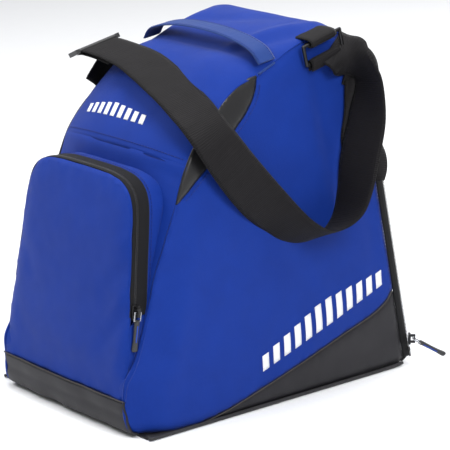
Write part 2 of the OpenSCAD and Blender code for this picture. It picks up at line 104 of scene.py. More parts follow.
class Shader:
    """A Principled material built from a few named nodes."""

    def __init__(self, name, rough, **sockets):
        self.material = bpy.data.materials.new(name)
        self.material.use_nodes = True
        self.tree = self.material.node_tree
        self.bsdf = self.tree.nodes["Principled BSDF"]
        self.bsdf.inputs["Roughness"].default_value = rough
        for key, value in sockets.items():
            self.bsdf.inputs[key.replace("_", " ")].default_value = value
        self.height = None

    def node(self, kind, **values):
        made = self.tree.nodes.new(kind)
        for key, value in values.items():
            if hasattr(made, key):
                setattr(made, key, value)
            else:
                made.inputs[key.replace("_", " ")].default_value = value
        return made

    def link(self, a, b):
        self.tree.links.new(a, b)

    def coords(self, kind):
        return self.node("ShaderNodeTexCoord").outputs[kind]

    def noise(self, scale, kind="Object", detail=3.0):
        made = self.node("ShaderNodeTexNoise", Scale=scale, Detail=detail)
        self.link(self.coords(kind), made.inputs["Vector"])
        return made.outputs["Fac"]

    def threads(self, period, direction):
        """Bands across one direction of the piece's cloth, period in metres."""
        made = self.node("ShaderNodeTexWave", bands_direction=direction, Scale=2 * math.pi / (20 * period))
        self.link(self.coords("UV"), made.inputs["Vector"])
        return made.outputs["Fac"]

    def math(self, operation, a, b):
        made = self.node("ShaderNodeMath", operation=operation)
        for slot, value in zip(made.inputs, (a, b)):
            if isinstance(value, (int, float)):
                slot.default_value = value
            else:
                self.link(value, slot)
        return made.outputs[0]

    def colour(self, low, high, fac):
        ramp = self.node("ShaderNodeValToRGB")
        ramp.color_ramp.elements[0].color = (*low, 1)
        ramp.color_ramp.elements[1].color = (*high, 1)
        self.link(fac, ramp.inputs["Fac"])
        self.link(ramp.outputs["Color"], self.bsdf.inputs["Base Color"])

    def roughness(self, low, high, fac):
        spread = self.node("ShaderNodeMapRange", To_Min=low, To_Max=high)
        self.link(fac, spread.inputs["Value"])
        self.link(spread.outputs["Result"], self.bsdf.inputs["Roughness"])

    def bump(self, height, strength, distance):
        made = self.node("ShaderNodeBump", Strength=strength, Distance=distance)
        self.link(height, made.inputs["Height"])
        if self.height is not None:
            self.link(self.height, made.inputs["Normal"])
        self.height = made.outputs["Normal"]
        self.link(self.height, self.bsdf.inputs["Normal"])


def woven(name, low, high, period, rough, sheen, bump=0.5):
    """Plain weave: threads both ways, colour that varies a little over the cloth."""
    s = Shader(name, rough, Sheen_Weight=sheen, Sheen_Roughness=0.4, Specular_IOR_Level=0.12)
    warp, weft = s.threads(period, "X"), s.threads(period, "Y")
    weave = s.math("MULTIPLY", warp, weft)
    cloudy = s.math("ADD", s.math("MULTIPLY", s.noise(30), 0.4), s.math("MULTIPLY", weave, 0.35))
    cloudy = s.math("ADD", cloudy, s.math("MULTIPLY", s.noise(1300), 0.3))
    s.colour(low, high, cloudy)
    s.roughness(rough - 0.07, rough + 0.08, s.noise(90))
    s.bump(s.math("ADD", weave, s.math("MULTIPLY", s.noise(420), 0.5)), bump, 0.00025)
    return s.material


def coated(name, low, high, rough, coat, grain, bump):
    """Coated cloth: a fine pebbled grain under a thin skin."""
    s = Shader(name, rough, Coat_Weight=coat, Coat_Roughness=0.35, Specular_IOR_Level=0.25)
    s.colour(low, high, s.noise(35))
    s.roughness(rough - 0.06, rough + 0.1, s.noise(60))
    s.bump(s.noise(grain, detail=6.0), bump, 0.0003)
    return s.material


def hard(name, low, high, rough, metallic, scale=300):
    """Painted metal, wire or moulded plastic, a little scuffed."""
    s = Shader(name, rough, Metallic=metallic)
    s.colour(low, high, s.noise(80))
    s.roughness(rough - 0.08, rough + 0.12, s.noise(120))
    s.bump(s.noise(scale), 0.15, 0.0001)
    return s.material


def make_materials():
    return {
        "blue": woven("blue_weave", (0.0015, 0.017, 0.155), (0.004, 0.036, 0.29), 0.0011, 0.6, 0.06, 0.8),
        "dark": coated("base_coated", (0.0075, 0.007, 0.009), (0.017, 0.016, 0.020), 0.5, 0.05, 900, 0.4),
        "coated": coated("insert_coated", (0.006, 0.006, 0.007), (0.013, 0.0125, 0.0135),
                         0.36, 0.3, 700, 0.3),
        "webbing": woven("black_webbing", (0.004, 0.0036, 0.0042), (0.013, 0.012, 0.0135),
                         0.0016, 0.6, 0.04, 0.8),
        "handle": woven("handle_webbing", (0.006, 0.026, 0.12), (0.018, 0.052, 0.23), 0.0014, 0.6, 0.12, 0.9),
        "tape": woven("zip_tape", (0.004, 0.004, 0.0045), (0.011, 0.011, 0.013), 0.0008, 0.7, 0.05),
        "coil": hard("zip_coil", (0.008, 0.008, 0.009), (0.02, 0.02, 0.022), 0.38, 0.0),
        "edge": woven("edge_binding", (0.035, 0.032, 0.032), (0.07, 0.065, 0.064), 0.0009, 0.7, 0.05),
        "piping": coated("piping_cover", (0.012, 0.012, 0.014), (0.035, 0.034, 0.038), 0.45, 0.1, 800, 0.3),
        "thread": woven("stitch_thread", (0.006, 0.014, 0.12), (0.012, 0.03, 0.21), 0.0006, 0.6, 0.2),
        "print": coated("white_print", (0.66, 0.67, 0.70), (0.76, 0.77, 0.79), 0.55, 0.05, 1200, 0.15),
        "metal": hard("black_metal", (0.012, 0.012, 0.013), (0.035, 0.035, 0.037), 0.3, 0.85),
        "wire": hard("plated_wire", (0.28, 0.29, 0.31), (0.45, 0.46, 0.48), 0.25, 1.0),
        "plastic": hard("moulded_black", (0.010, 0.010, 0.011), (0.022, 0.022, 0.024), 0.42, 0.0),
        "inlay": woven("inlay_blue", (0.015, 0.05, 0.35), (0.03, 0.09, 0.5), 0.0008, 0.6, 0.1),
        "board": coated("stiffener_board", (0.16, 0.16, 0.17), (0.24, 0.24, 0.25), 0.7, 0.0, 500, 0.2),
        "floor": woven("studio_floor", (0.80, 0.81, 0.83), (0.84, 0.85, 0.87), 0.01, 0.8, 0.0, 0.0),
    }


# ---------------------------------------------------------------- lines and grids


def resample(line, step):
    """Points equally spaced along a line of points."""
    line = np.asarray(line, float)
    along = np.r_[0, np.cumsum(np.linalg.norm(np.diff(line, axis=0), axis=1))]
    places = np.linspace(0, along[-1], max(2, round(along[-1] / step) + 1))
    return np.column_stack([np.interp(places, along, line[:, k]) for k in range(line.shape[1])])


def curve(points, step, dense=20):
    """A smooth curve through the points, sampled every step."""
    p = np.asarray(points, float)
    p = np.vstack([2 * p[0] - p[1], p, 2 * p[-1] - p[-2]])
    t = np.linspace(0, 1, dense, endpoint=False)[:, None]
    made = []
    for a, b, c, d in zip(p[:-3], p[1:-2], p[2:-1], p[3:]):
        made.append(0.5 * (2 * b + (c - a) * t + (2 * a - 5 * b + 4 * c - d) * t**2
                           + (3 * b - a - 3 * c + d) * t**3))
    return resample(np.vstack([*made, p[-2]]), step)


def unit(v):
    return v / np.maximum(np.linalg.norm(v, axis=-1, keepdims=True), 1e-9)


def ramp(x, low, high):
    t = np.clip((x - low) / (high - low), 0, 1)
    return t * t * (3 - 2 * t)


def gauss(x, width):
    return np.exp(-(x / width) ** 2)


def ripple(points, scale, seed):
    """Smooth noise from -1 to 1 at each point, over lumps scale millimetres wide."""
    return np.array([noise.noise(Vector(p) / scale + Vector((seed, 2 * seed, 3 * seed)))
                     for p in np.asarray(points, float).reshape(-1, 3)]).reshape(np.shape(points)[:-1])


def fold(points, a, b, width, height):
    """A soft ridge or valley from a to b that fades at both ends."""
    a, b = np.array(a, float), np.array(b, float)
    along = np.clip((points - a) @ (b - a) / ((b - a) @ (b - a)), 0, 1)
    away = np.linalg.norm(points - (a + along[..., None] * (b - a)), axis=-1)
    return height * gauss(away, width) * (0.35 + 0.65 * np.sin(np.pi * np.clip(along, 0.08, 0.92)))


def folds(points, creases):
    """Several folds together, each given by its two ends, width and height."""
    return sum(fold(points, *crease) for crease in creases)

def mesh_piece(name, verts, faces, material, uvs=None, smooth=True):
    """A mesh object from points in millimetres; uvs are per vertex, in millimetres too."""
    mesh = bpy.data.meshes.new(name)
    mesh.from_pydata((np.asarray(verts, float) * MM).tolist(), [], [list(map(int, f)) for f in faces])
    mesh.validate()
    layer = mesh.uv_layers.new(name="UVMap")
    uvs = np.zeros((len(verts), 2)) if uvs is None else np.asarray(uvs, float) * MM
    loops = np.array([loop.vertex_index for loop in mesh.loops])
    layer.data.foreach_set("uv", uvs[loops].ravel())
    mesh.polygons.foreach_set("use_smooth", [smooth] * len(mesh.polygons))
    mesh.materials.append(MATERIALS[material])
    piece = bpy.data.objects.new(name, mesh)
    bpy.context.scene.collection.objects.link(piece)
    return piece


def thicken(piece, thickness):
    layer = piece.modifiers.new("cloth_thickness", "SOLIDIFY")
    layer.thickness = thickness * MM
    layer.offset = -1
    layer.use_even_offset = False
    return piece


def place(piece, body, slot, *nodes):
    """The piece rides on a body and stands for CAD nodes, which it hides. The slot is not used."""
    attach(piece, body)
    if nodes:
        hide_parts(*nodes)
    return piece


def grid_faces(rows, cols, flip=False, closed=False):
    wrap = cols if closed else cols - 1
    faces = []
    for i in range(rows - 1):
        for j in range(wrap):
            a, b = i * cols + j, i * cols + (j + 1) % cols
            face = (a, b, b + cols, a + cols)
            faces.append(face[::-1] if flip else face)
    return faces


def grid_uv(points):
    across = np.cumsum(np.linalg.norm(np.diff(points, axis=1, prepend=points[:, :1]), axis=2), axis=1)
    along = np.cumsum(np.linalg.norm(np.diff(points, axis=0, prepend=points[:1]), axis=2), axis=0)
    middle = across[:, across.shape[1] // 2][:, None]
    return np.stack([across - middle, along[:, along.shape[1] // 2][:, None] + 0 * across], axis=-1)



def grid_piece(name, points, material, flip=False):
    rows, cols = points.shape[:2]
    return mesh_piece(name, points.reshape(-1, 3), grid_faces(rows, cols, flip), material,
                      grid_uv(points).reshape(-1, 2))


# ---------------------------------------------------------------- the bag's shape, as in the CAD source

BASE_W = 258.0
LEAN = 0.083
FRONT_FOOT = [(-188, 1), (-198, 9), (-202, 22), (-203, 40)]
FRONT_RISE = [(-203, 40), (-201, 62), (-186, 86), (-170, 126), (-157, 169), (-140, 211), (-129, 239)]
SHOULDER = [(-129, 239), (-126, 250), (-121, 263), (-116, 275), (-105, 293), (-89, 311), (-73, 327),
            (-56, 341), (-37, 352), (-12, 359)]
TOP_EDGE = [(-12, 359), (-2, 363), (24, 376), (49, 386), (75, 393), (95, 396), (112, 389)]
INSERT_REAR = [(-129, 239), (-119, 246), (-104, 259), (-87, 273), (-52, 302), (-31, 321), (-21, 333),
               (-15, 345), (-12, 359)]
WEDGE_TOP = [(-117, 1), (-89, 6), (-47, 17), (27, 37), (88, 55), (135, 68), (159, 79), (170, 90)]
REAR_LINE = [(192.3, 24), (186.6, 60), (180.4, 100), (171, 160), (161.7, 220), (155, 262), (151, 285),
             (144, 312), (134, 340), (124, 362), (114, 381)]
TAPE = 8.5  # width of the main zip's tape beside its coil

front_seam = curve(FRONT_FOOT + FRONT_RISE[1:] + SHOULDER[1:], 3)
top_seam = curve(TOP_EDGE, 3)
rear_seam = curve(REAR_LINE, 3)
# How far the front corners round inwards from the flat of the side, by height.
CORNER = [(0, 17), (35, 20), (73, 13), (115, 13), (162, 10.5), (208, 7), (236, 4), (275, 2.5), (400, 2)]


def half_w(z):
    return BASE_W / 2 - LEAN * z


def corner(z):
    return np.interp(z, *zip(*CORNER))


def seam_x(z):
    return half_w(z) - corner(z)


def front_y(z):
    return np.interp(z, front_seam[:, 1], front_seam[:, 0])


def rear_y(z):
    return np.interp(z, rear_seam[:, 1], rear_seam[:, 0])


def top_z(y):
    return np.interp(y, top_seam[:, 0], top_seam[:, 1], left=999)


# Creases of each soft panel: its two ends, its width and its height.
SIDE_FOLDS = [((72, 352), (94, 205), 13, -3.2), ((50, 350), (62, 225), 15, 2.0),
              ((-150, 60), (-120, 190), 16, 1.6), ((-176, 40), (-140, 150), 9, -1.2),
              ((-60, 30), (120, 78), 12, -0.9), ((150, 110), (130, 240), 10, -1.3),
              ((20, 60), (150, 120), 16, 1.0)]
FRONT_FOLDS = [((112, 70), (104, 230), 7, -2.0), ((-112, 70), (-104, 230), 7, -2.0),
               ((60, 272), (112, 262), 6, -1.2)]
YOKE_FOLDS = [((40, 8), (75, 92), 9, 3.4), ((58, 6), (96, 84), 10, -3.0), ((-70, 40), (20, 78), 13, -2.4),
              ((-60, -60), (40, -86), 14, -1.6), ((-88, -20), (-72, 88), 12, 1.8),
              ((90, -60), (40, -20), 14, 1.6)]
POCKET_FOLDS = [((98, 185), (60, 150), 9, -1.9), ((100, 160), (72, 118), 8, 1.6),
                ((101, 140), (66, 90), 9, -2.0), ((104, 118), (84, 66), 8, 1.4),
                ((-98, 180), (-62, 140), 10, -1.6), ((-60, 230), (40, 246), 12, 1.0),
                ((98, 215), (70, 196), 8, 1.2), ((-104, 110), (-60, 70), 11, -1.2)]

def side_point(y, z, lift=0.0):
    """The outer surface of the right side over (y, z), lift millimetres proud of it."""
    y, z = np.asarray(y, float), np.asarray(z, float)
    flat = np.stack([y, z], axis=-1)
    x = half_w(z) + lift
    x = x - corner(z) * gauss(np.maximum(0, y - front_y(z)), 23) * (z < 356)
    x = x - 2.2 * gauss(np.maximum(0, top_z(y) - z), 9) - 1.6 * gauss(np.maximum(0, rear_y(z) - y), 9)
    x = x - 3.0 * gauss(z, 8)
    puff = np.clip(1 - ((y - 5) / 185) ** 2, 0, 1) * np.clip(1 - ((z - 140) / 200) ** 2, 0, 1)
    x = x + 3.5 * puff
    x = x + folds(flat, SIDE_FOLDS)
    return np.stack([x, y, z], axis=-1)


def edge_distance(points, outline):
    a, b = outline, np.roll(outline, -1, axis=0)
    d = b - a
    t = np.clip(((points[:, None] - a) * d).sum(2) / np.maximum((d * d).sum(1), 1e-9), 0, 1)
    return np.linalg.norm(points[:, None] - a - t[..., None] * d, axis=2).min(1)


def region(outline, step):
    """Triangles that fill a flat outline: (points, faces, distance from the edge)."""
    outline = np.asarray(outline, float)
    low, high = outline.min(0), outline.max(0)
    rows = np.arange(low[1], high[1], step * 0.87)
    inner = np.array([(x + (step / 2 if k % 2 else 0), y)
                      for k, y in enumerate(rows) for x in np.arange(low[0], high[0], step)])
    inner = inner[edge_distance(inner, outline) > step * 0.6]
    points = [Vector(p) for p in np.vstack([outline, inner])]
    made = delaunay_2d_cdt(points, [], [list(range(len(outline)))], 1, 1e-4)
    flat = np.array([list(v) for v in made[0]])
    return flat, made[2], edge_distance(flat, outline)


def closed_line(*parts):
    """One outline from several lines, without points that repeat."""
    line = np.vstack([np.asarray(p, float) for p in parts])
    keep = np.linalg.norm(line - np.roll(line, 1, axis=0), axis=1) > 0.35
    return line[keep]


def rolled(d, depth, width):
    """How far cloth sinks at its sewn edge."""
    return depth * np.exp(-(d / width) ** 1.5)


def puckers(points, d, height, pitch, reach):
    """Small gathers that run in from a stitched edge."""
    phase = np.sin(2 * np.pi * ripple(points, pitch * 2.2, 5))
    return height * phase * np.exp(-d / reach)


def side_cloth(name, outline, material, left, thickness, lift=0.0, roll=1.3, step=4.0, pucker=0.35):
    """A piece of cloth laid on a side over a flat outline of (y, z)."""
    flat, faces, d = region(outline, step)
    base = side_point(flat[:, 0], flat[:, 1], lift)
    out = -rolled(d, roll, 3.5) + puckers(base, d, pucker, 9, 9) + 0.45 * ripple(base, 34, 11)
    base[:, 0] += out
    if left:
        base[:, 0] *= -1
        faces = [f[::-1] for f in faces]
    return thicken(mesh_piece(name, base, faces, material, flat), thickness)


# ---------------------------------------------------------------- stitches, edges and prints


def stitches(name, line, normals, material, pitch=4.0, length=2.8, radius=0.42):
    """Short capsules of thread laid along a line of points."""
    line, normals = resample(line, 0.5), resample(normals, 0.5) if len(normals) > 2 else normals
    count = len(line)
    every = max(1, round(pitch / 0.5))
    half = max(1, round(length / 0.5 / 2))
    verts, faces = [], []
    for middle in range(half, count - half, every):
        a, b = line[middle - half], line[middle + half]
        n = unit(normals[min(middle * len(normals) // count, len(normals) - 1)])
        along = unit(b - a)
        across = unit(np.cross(along, n))
        start = len(verts)
        for t, r in ((0, 0.35), (0.18, 1), (0.82, 1), (1, 0.35)):
            centre = a + (b - a) * t + n * (0.25 * r - 0.1)
            for k in range(6):
                angle = k * math.pi / 3
                verts.append(centre + radius * r * (math.cos(angle) * across + math.sin(angle) * n))
        faces += [tuple(start + i for i in f) for f in grid_faces(4, 6, closed=True)]
        faces += [tuple(start + i for i in range(5, -1, -1)), tuple(start + 18 + i for i in range(6))]
    return mesh_piece(name, verts, faces, material)


def tube(name, line, radius, material, sides=10, flatten=1.0):
    """A round edge cord along a line of points."""
    line = np.asarray(line, float)
    along = unit(np.gradient(line, axis=0))
    side = unit(np.cross(along, np.array([0.0, 0.0, 1.0]) + 1e-3))
    up = np.cross(side, along)
    angle = np.linspace(0, 2 * np.pi, sides, endpoint=False)
    rings = (line[:, None] + radius * (np.cos(angle)[None, :, None] * side[:, None]
                                       + flatten * np.sin(angle)[None, :, None] * up[:, None]))
    verts = rings.reshape(-1, 3)
    faces = grid_faces(len(line), sides, closed=True)
    last = (len(line) - 1) * sides
    faces += [tuple(range(sides - 1, -1, -1)), tuple(last + i for i in range(sides))]
    return mesh_piece(name, verts, faces, material, grid_uv(rings).reshape(-1, 2))


def webbing(name, centres, widths, width, thickness, material, pitch=2.3, rib=0.32, cols=12):
    """Flat webbing with cross ribs, along centres, its width along widths."""
    step = pitch / 4
    dense = resample(np.hstack([centres, widths * 0.001]), step)
    centres, widths = dense[:, :3], unit(dense[:, 3:])
    along = unit(np.gradient(centres, axis=0))
    widths = unit(widths - along * (widths * along).sum(1, keepdims=True))
    faced = np.cross(along, widths)
    ribs = rib * np.sin(2 * np.pi * np.arange(len(centres)) / 4) * 0.5
    edge = np.linspace(-1, 1, cols)
    belly = np.sqrt(np.clip(1 - np.abs(edge) ** 10, 0, 1))
    front = (centres[:, None] + widths[:, None] * (edge * width / 2)[None, :, None]
             + faced[:, None] * ((thickness / 2 + ribs)[:, None] * belly[None, :])[..., None])
    back = (centres[:, None] + widths[:, None] * (edge[::-1] * width / 2)[None, :, None]
            - faced[:, None] * ((thickness / 2 + ribs)[:, None] * belly[None, ::-1])[..., None])
    rings = np.concatenate([front, back[:, 1:-1]], axis=1)
    sides = rings.shape[1]
    verts = rings.reshape(-1, 3)
    faces = grid_faces(len(centres), sides, closed=True, flip=True)
    last = (len(centres) - 1) * sides
    faces += [tuple(range(sides)), tuple(last + i for i in range(sides - 1, -1, -1))]
    return mesh_piece(name, verts, faces, material, grid_uv(rings).reshape(-1, 2))


def slanted_bars(origin, along, count, pitch, width, height, lean):
    """Outlines of a row of slanted bars, its heights stepping down to both ends."""
    along = unit(np.array(along, float))
    up = np.array([-along[1], along[0]])
    bars = []
    for k in range(count):
        tall = height * (1 - 0.08 * abs(k - (count - 1) / 2))
        foot = np.array(origin, float) + along * k * pitch
        top = foot + up * tall + along * lean * tall
        bars.append(closed_line(resample([foot, foot + along * width], 4),
                                resample([foot + along * width, top + along * width], 4),
                                resample([top + along * width, top], 4), resample([top, foot], 4)))
    return bars


# ---------------------------------------------------------------- panels that cross the bag


def run_normals(run):
    slope = np.gradient(run[:, :2], axis=0)
    return unit(np.stack([-slope[:, 1], slope[:, 0]], axis=1))


GRID_STEP = 4.0  # spacing of a crossing panel's rows
SOFT_CROWN = 2.6  # power of a panel's crown: 2 is a plain arch, and more is boxier

def soft_crown(z):
    return SOFT_CROWN

def crossing(run, edge_x, sag=None, cols=61, roll=1.2, step=GRID_STEP, square=soft_crown):
    """A crowned panel across the bag along a run of (y, z, crown).

    edge_x gives its half width by height, and square how boxy its crown is.
    """
    run = curve(run, step)
    n = run_normals(run)
    u = np.linspace(-1, 1, cols)
    u = np.sign(u) * (1 - (1 - np.abs(u)) ** 1.35)
    half = np.array([edge_x(z) for z in run[:, 1]])[:, None]
    x = u[None, :] * half
    power = np.array([square(z) for z in run[:, 1]])[:, None]
    h = run[:, 2:3] * (1 - np.abs(u[None, :]) ** power) - rolled(half - np.abs(x), roll, 3.5)
    points = np.stack([x, run[:, 0:1] + 0 * x, run[:, 1:2] + 0 * x], axis=-1)
    h = h + 0.5 * ripple(points, 40, 3)
    if sag is not None:
        h = h + sag(points)
    h[0] -= 0.4 * roll
    h[-1] -= 0.4 * roll
    return points + h[..., None] * np.stack([0 * n[:, 0], n[:, 0], n[:, 1]], axis=-1)[:, None, :]


FRONT_RUN = [(-203, 40.4, -3), (-200, 62, -5), (-186, 86, -4), (-170, 126, -1), (-157, 169, 2),
             (-140, 211, 6), (-128, 241, 11), (-116.6, 274, 19), (-113.2, 280, 17.2)]
YOKE_CROWN = (19.8, 21, 22, 22, 21, 20, 17, 14.5, 11, 7.5, 5, 3, 0.6)
YOKE_RUN = [(y, z, c) for (y, z), c in zip([(-116, 275.4)] + SHOULDER[4:] + TOP_EDGE[1:], YOKE_CROWN)]
DOOR_RUN = [(117.2, 379, 1), (126.4, 362, 2.4), (136.4, 340, 3.8), (146.4, 312, 5.2), (153.4, 285, 6.6),
            (157.3, 262, 8), (165.4, 210, 10), (173.2, 160, 13.5), (181, 110, 16), (188.8, 60, 12),
            (192.6, 36, 7), (195, 22, 3), (197.4, 14, 0.6)]


def front_sag(points):
    x, z = points[..., 0], points[..., 2]
    return folds(np.stack([x, z], axis=-1), FRONT_FOLDS)


def yoke_sag(points):
    """Soft creases in the slack top of the bag."""
    return folds(points[..., :2], YOKE_FOLDS)


def yoke_square(z):
    """The yoke gets boxier towards the top."""
    return SOFT_CROWN + 2.8 * ramp(z, 325, 362)

def band_sag(points):
    return 1.1 * ripple(points, 30, 9) - 1.4 * gauss(points[..., 2] - 24, 5)

def make_front_and_top():
    def edge(z):
        return seam_x(z) + 0.6

    place(thicken(grid_piece("front_cloth", crossing(FRONT_RUN, edge, front_sag), "blue"), 2.0),
          "bag", "blue_fabric", "front_panel")
    yoke = crossing(YOKE_RUN, edge, yoke_sag, square=yoke_square)
    place(thicken(grid_piece("yoke_cloth", yoke, "blue"), 2.0), "bag", "blue_fabric", "yoke_panel")
    foot = [(-188, 1.6, 0), (-194.5, 4.6, 0.6), (-198, 9, 1), (-202, 22, 2), (-203.4, 40.2, 1.6)]
    band = crossing(foot, edge, band_sag, step=2.5)
    place(thicken(grid_piece("front_band_cloth", band, "dark"), 2.0), "bag", "dark_fabric", "front_base_band")
    place(tube("front_band_edge", band[-1] + [0, -0.6, 0.6], 0.8, "edge"), "bag", "piping")
    lower = yoke[2, 3:-3]
    place(stitches("yoke_stitch", lower + [0, -0.35, 0.2], np.array([[0, -1, 0.4]]), "thread"), "bag",
          "blue_fabric")
    seam = resample(yoke[0, 1:-1], 2)
    place(tube("yoke_seam_fold", seam + [0, 1.0, -0.6], 1.1, "thread"), "bag", "blue_fabric")
    return yoke


def door_sag(points):
    return 1.6 * ripple(points, 70, 21) - 2.2 * gauss(points[..., 2] - 235, 16)

def door_edge(z):
    return half_w(z) - 12.2

def door_square(z):
    return 5.5

def rear_band_edge(z):
    return half_w(z) - 3.6

def make_rear():
    door = crossing(DOOR_RUN, door_edge, door_sag, roll=1.6, square=door_square)
    place(thicken(grid_piece("rear_door_cloth", door, "blue"), 2.2), "rear_door", "blue_fabric",
          "rear_door_panel")
    band = crossing([(197.6, 12.0, 0), (194.6, 6.6, 0), (186.6, 2.0, 0)], rear_band_edge, step=1.5)
    place(thicken(grid_piece("rear_band_cloth", band, "dark"), 2.0), "bag", "dark_fabric", "rear_base_band")
    run = curve(DOOR_RUN[1:-1], 3)
    n = run_normals(run)
    for side, sign in (("right", 1), ("left", -1)):
        strip, teeth = [], []
        for (y, z, _), (ny, nz) in zip(run, n):
            strip.append([[sign * (half_w(z) - d), y + 0.9 * ny, z + 0.9 * nz]
                          for d in (12.9, 10.6, 8.2, 5.4)])
            teeth.append([sign * (half_w(z) - 4.2), y + 0.6 * ny, z + 0.6 * nz])
        tape = grid_piece("door_tape_" + side, np.array(strip), "tape", flip=sign < 0)
        place(thicken(tape, 1.0), "rear_door", "zip_tape", "main_zip_tape_door")
        place(zip_teeth("door_teeth_" + side, teeth, [sign, 0, 0], 2.0), "rear_door", "zip_coil",
              "main_zip_coil_door")
        row = np.array(strip)[:, 0] + [-sign * 2.4, 0.9, 0.2]
        place(stitches("door_stitch_" + side, row, np.array([[0, 1, 0.15]]), "thread"),
              "rear_door", "blue_fabric")


def zip_teeth(name, line, across, length, pitch=1.7, radius=0.72):
    """A row of coil turns along a line, each lying across it."""
    line = resample(line, pitch)
    along = unit(np.gradient(line, axis=0))
    across = unit(np.broadcast_to(np.array(across, float), line.shape) + 0.0)
    across = unit(across - along * (across * along).sum(1, keepdims=True))
    up = np.cross(along, across)
    verts, faces = [], []
    for c, t, a, n in zip(line, along, across, up):
        start = len(verts)
        for s, r in ((-0.5, 0.5), (-0.36, 1), (0.36, 1), (0.5, 0.5)):
            for k in range(6):
                angle = k * math.pi / 3
                verts.append(c + a * s * length
                             + radius * r * (0.8 * math.cos(angle) * t + math.sin(angle) * n))
        faces += [tuple(start + i for i in f) for f in grid_faces(4, 6, closed=True)]
        faces += [tuple(start + i for i in range(5, -1, -1)), tuple(start + 18 + i for i in range(6))]
    return mesh_piece(name, verts, faces, "coil")


# ---------------------------------------------------------------- sides


def shifted(line, dy, dz=0.0):
    return np.asarray(line, float) + [dy, dz]


def side_outlines():
    rear = rear_seam[rear_seam[:, 1] > 24]
    wedge_line = curve(WEDGE_TOP, 3)
    wedge_end = wedge_line[-1]
    rear_up = shifted(rear[(rear[:, 1] > wedge_end[1])], -TAPE)
    rear_low = shifted(curve([(196.5, 8)] + REAR_LINE[:3], 3), -TAPE)
    rear_low = rear_low[rear_low[:, 1] < wedge_end[1]]
    insert_rear = curve(INSERT_REAR, 3)
    side = closed_line(resample([(-118, 1.6), (-187, 1.6)], 4), curve(FRONT_FOOT, 3), curve(FRONT_RISE, 3),
                       insert_rear, curve(TOP_EDGE, 3), rear_up[::-1], wedge_line[::-1])
    wedge = closed_line(wedge_line, rear_low[::-1], resample([(180, 2.2), (-112, 1.2)], 4))
    insert = closed_line(curve(SHOULDER, 3)[::-1], insert_rear)
    return side[::-1], wedge[::-1], insert, insert_rear, wedge_line


def on_side(line, left, lift):
    points = side_point(line[:, 0], line[:, 1], lift)
    points[:, 0] *= -1 if left else 1
    return points


def make_sides():
    side, wedge, insert, insert_rear, wedge_line = side_outlines()
    for name, left in (("right", False), ("left", True)):
        out = np.array([[-1.0 if left else 1.0, 0, 0.08]])
        place(side_cloth("side_cloth_" + name, side, "blue", left, 2.2), "bag", "blue_fabric",
              "side_panel_" + name)
        place(side_cloth("wedge_cloth_" + name, wedge, "dark", left, 2.2, lift=0.2), "bag", "dark_fabric",
              "side_wedge_" + name)
        place(side_cloth("insert_cloth_" + name, insert, "coated", left, 2.2, lift=0.6, roll=1.5, step=3),
              "bag", "coated_fabric", "shoulder_insert_" + name)
        anchor = on_side(resample([(-10, 359.5), (13, 368.5)], 2), left, 0.2)
        place(tube("handle_anchor_" + name, anchor, 1.2, "handle"), "bag", "handle_webbing", "handle_anchors")
        edge = tube("wedge_edge_" + name, on_side(wedge_line, left, 0.2), 0.75, "edge")
        place(edge, "bag", "piping")
        row = on_side(shifted(insert_rear, 3.4, -2.4)[3:-2], left, 0.4)
        place(stitches("insert_stitch_" + name, row, out, "thread"), "bag", "blue_fabric")
        row = on_side(shifted(rear_seam[rear_seam[:, 1] > 96], -TAPE - 2.6), left, 0.3)
        place(stitches("rear_stitch_" + name, row, out, "thread"), "bag", "blue_fabric")
        make_main_tape(name, left)
        foot = [(-187, 2.6), (-150, 2.3), (0, 2.3), (150, 2.3), (182, 3.6)]
        line = [((-1 if left else 1) * (half_w(z) + 1.3), y, z) for y, z in curve(foot, 4)]
        place(tube("piping_cord_" + name, line, 1.9, "piping", 12), "bag", "piping", "piping_" + name)
        place(side_bars(name, left), "bag", "blue_fabric")


def make_main_tape(name, left):
    sign = -1 if left else 1
    line = curve([(196, 8)] + REAR_LINE, 3)
    strip = np.array([[side_point(y - d, z, 0.7 - 0.25 * (d < 2)) for d in (TAPE + 0.6, 6.4, 4.2, -1.4)]
                      for y, z in line])
    strip[..., 0] *= sign
    tape = grid_piece("main_tape_" + name, strip, "tape", flip=left)
    place(thicken(tape, 1.2), "bag", "zip_tape", "main_zip_tape_body")
    teeth = side_point(line[:, 0] - 0.2, line[:, 1], 0.2)
    teeth[:, 0] = (teeth[:, 0] + 1.4) * sign
    teeth[:, 1] += 1.2
    place(zip_teeth("main_teeth_" + name, teeth, [0, 1, 0], 2.4), "bag", "zip_coil", "main_zip_coil_body")


BARS_FROM = (-28, 40)  # (y, z) where the side print starts
BARS_ALONG = (188, 62)  # the way it runs

def side_bars(name, left):
    """A plain row of slanted bars printed along the wedge."""
    verts, faces, uvs = [], [], []
    for bar in slanted_bars(BARS_FROM, BARS_ALONG, 12, 16.6, 9.6, 30, 0.28):
        flat, made, _ = region(bar, 3.5)
        points = side_point(flat[:, 0], flat[:, 1], 0.35)
        start = len(verts)
        points[:, 0] += 0.45 * ripple(points, 34, 11)
        points[:, 0] *= -1 if left else 1
        verts += list(points)
        uvs += list(flat)
        faces += [tuple(start + i for i in (f[::-1] if left else f)) for f in made]
    return thicken(mesh_piece("side_print_" + name, verts, faces, "print", uvs), 0.3)


# ---------------------------------------------------------------- front pocket

POCKET_SIDE = [(103.4, 40.4), (104.6, 64), (104.8, 86), (103.6, 108), (101, 128)]
POCKET_ARCH = [(101, 128), (98, 160), (95, 192), (91.9, 224), (88.5, 242),
               (81, 255), (68, 263.5), (50, 267.6),
               (26, 269)]


FACE_LEAN = 0.131  # how far the pocket's face leans back for each millimetre up

def face_y(z):
    return -203 + FACE_LEAN * (z - 40)


def both_halves(half):
    return list(half) + [(-x, z) for x, z in half[::-1]]


